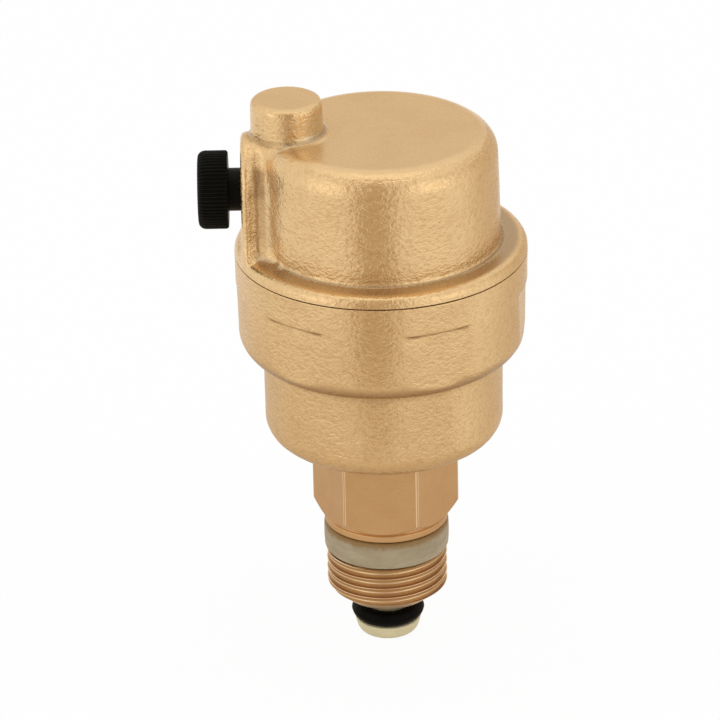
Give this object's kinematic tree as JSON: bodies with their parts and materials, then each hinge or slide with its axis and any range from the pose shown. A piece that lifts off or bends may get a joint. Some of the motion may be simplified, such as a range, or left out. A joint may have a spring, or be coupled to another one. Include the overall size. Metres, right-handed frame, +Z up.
{
  "type": "automatic air release valve",
  "caption": "Brass float air vent with side outlet and knurled vent cap, on a hexagonal automatic shut-off valve with a male pipe thread.",
  "frame": {"origin": "centre of the end face of the threaded pipe stub", "axes": "+Z up the vent's axis, away from the pipe; -X towards the vent cap; -Y is the side that the picture shows"},
  "size_m": [0.0557, 0.05, 0.1015],
  "materials": {
    "forged_brass": "forged and shot-blasted, satin",
    "machined_brass": "turned and milled, fine tool marks",
    "stainless": "drawn wire, turned and stamped",
    "seal_white": "translucent moulded resin",
    "cream_resin": "turned acetal, semi-gloss",
    "float_resin": "moulded polypropylene",
    "black_rubber": "moulded, satin",
    "black_plastic": "moulded, satin",
    "fibre": "pressed fibre sheet"
  },
  "bodies": {
    "shutoff": {"shutoff_body": "machined_brass", "thread_seal_ring": "seal_white", "plunger_spring": "stainless"},
    "plunger": {"shutoff_plunger": "cream_resin", "plunger_oring": "black_rubber", "plunger_disc": "stainless", "plunger_clip": "stainless"},
    "gasket": {"stub_gasket": "fibre"},
    "vent": {"vent_body": "forged_brass", "cover": "forged_brass", "cover_oring": "black_rubber", "valve_seat": "machined_brass", "seat_oring": "black_rubber", "obturator_spring": "stainless", "lever_pin": "stainless", "lever_bracket": "stainless", "bracket_screw": "stainless"},
    "float": {"float_shell": "float_resin", "float_base": "float_resin", "float_hook": "stainless"},
    "lever": {"lever": "stainless"},
    "obturator": {"obturator_stem": "stainless", "obturator_seal": "black_rubber"},
    "cap_disc": {"cap_seal": "black_rubber"},
    "cap": {"vent_cap": "black_plastic"}
  },
  "joints": [
    {"name": "vent_lift", "type": "slide", "parent": "shutoff", "child": "gasket", "axis": [0, 0, 1], "range_m": [0, 0.00201]},
    {"name": "vent_turn", "type": "hinge", "parent": "gasket", "child": "vent", "pos_m": [0, 0, 0.0315], "axis": [0, 0, 1], "range_deg": [0, 540]},
    {"name": "plunger_slide", "type": "slide", "parent": "shutoff", "child": "plunger", "axis": [0, 0, 1], "range_m": [0, 0.00201], "deforming": ["plunger_spring"]},
    {"name": "float_slide", "type": "slide", "parent": "vent", "child": "float", "axis": [0, 0, 1], "range_m": [0, 0.004]},
    {"name": "lever_hinge", "type": "hinge", "parent": "vent", "child": "lever", "pos_m": [-0.01145, 0, 0.0684], "axis": [0, -1, 0], "range_deg": [0, 20]},
    {"name": "obturator_slide", "type": "slide", "parent": "vent", "child": "obturator", "axis": [0, 0, -1], "range_m": [0, 0.0014], "deforming": ["obturator_spring"]},
    {"name": "cap_slide", "type": "slide", "parent": "vent", "child": "cap_disc", "axis": [1, 0, 0], "range_m": [-0.001, 0.001]},
    {"name": "cap_turn", "type": "hinge", "parent": "cap_disc", "child": "cap", "pos_m": [-0.0234, 0, 0.0773], "axis": [1, 0, 0], "range_deg": [-360, 360]}
  ],
  "couplings": [
    {"joint": "vent_lift", "follows": "vent_turn", "m_per_rad": 0.00021279},
    {"joint": "plunger_slide", "follows": "vent_turn", "m_per_rad": 0.00021279},
    {"joint": "lever_hinge", "follows": "float_slide", "rad_per_m": 87.26},
    {"joint": "obturator_slide", "follows": "float_slide", "ratio": 0.35},
    {"joint": "cap_turn", "follows": "cap_slide", "rad_per_m": 6283.2}
  ]
}
